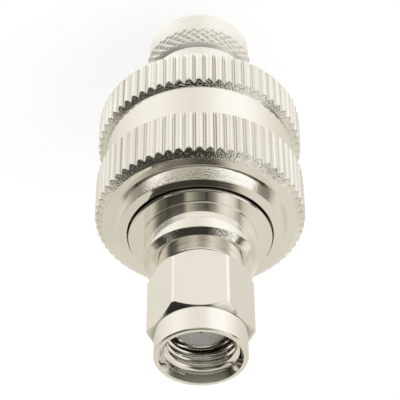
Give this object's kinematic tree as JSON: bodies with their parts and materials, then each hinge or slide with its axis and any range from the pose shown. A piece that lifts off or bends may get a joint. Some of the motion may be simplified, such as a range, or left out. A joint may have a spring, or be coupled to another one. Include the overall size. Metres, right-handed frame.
{
  "type": "sma connector",
  "caption": "Straight coaxial adapter: a small plug with a hexagon coupling nut at the top, a wide knurled coupling nut, and a barrel plug with a diamond-knurled ring below.",
  "frame": {"origin": "centre of the lower plug's rim, which it stands on", "axes": "+Z along the axis towards the mouth of the hexagon nut, -Y towards a flat of the hexagon"},
  "size_m": [0.0186, 0.0186, 0.0376],
  "materials": {
    "nickel_plate": "bright nickel plate on turned brass",
    "gold_plate": "thin gold plate on turned brass",
    "white_insulator": "natural white fluoropolymer, turned",
    "red_silicone": "soft silicone gasket",
    "black_rubber": "soft rubber gasket",
    "spring_bronze": "bare spring bronze wire"
  },
  "bodies": {
    "body": {"main_body": "nickel_plate", "plug_barrel": "nickel_plate", "retaining_bush": "nickel_plate", "ferrule": "nickel_plate", "sma_contact": "gold_plate", "plug_contact": "gold_plate", "sma_insulator": "white_insulator", "plug_insulator": "white_insulator", "middle_insulator": "white_insulator", "sma_gasket": "red_silicone", "nut_gasket": "black_rubber", "sma_snap_ring": "spring_bronze", "nut_snap_ring": "spring_bronze"},
    "hex_nut": {"hex_nut": "nickel_plate"},
    "coupling_nut": {"coupling_nut": "nickel_plate"}
  },
  "joints": [
    {"name": "hex_nut_spin", "type": "hinge", "parent": "body", "child": "hex_nut", "pos_m": [0, 0, 0.03007], "axis": [0, 0, 1], "continuous": true},
    {"name": "coupling_nut_spin", "type": "hinge", "parent": "body", "child": "coupling_nut", "pos_m": [0, 0, 0.0231], "axis": [0, 0, 1], "continuous": true}
  ]
}
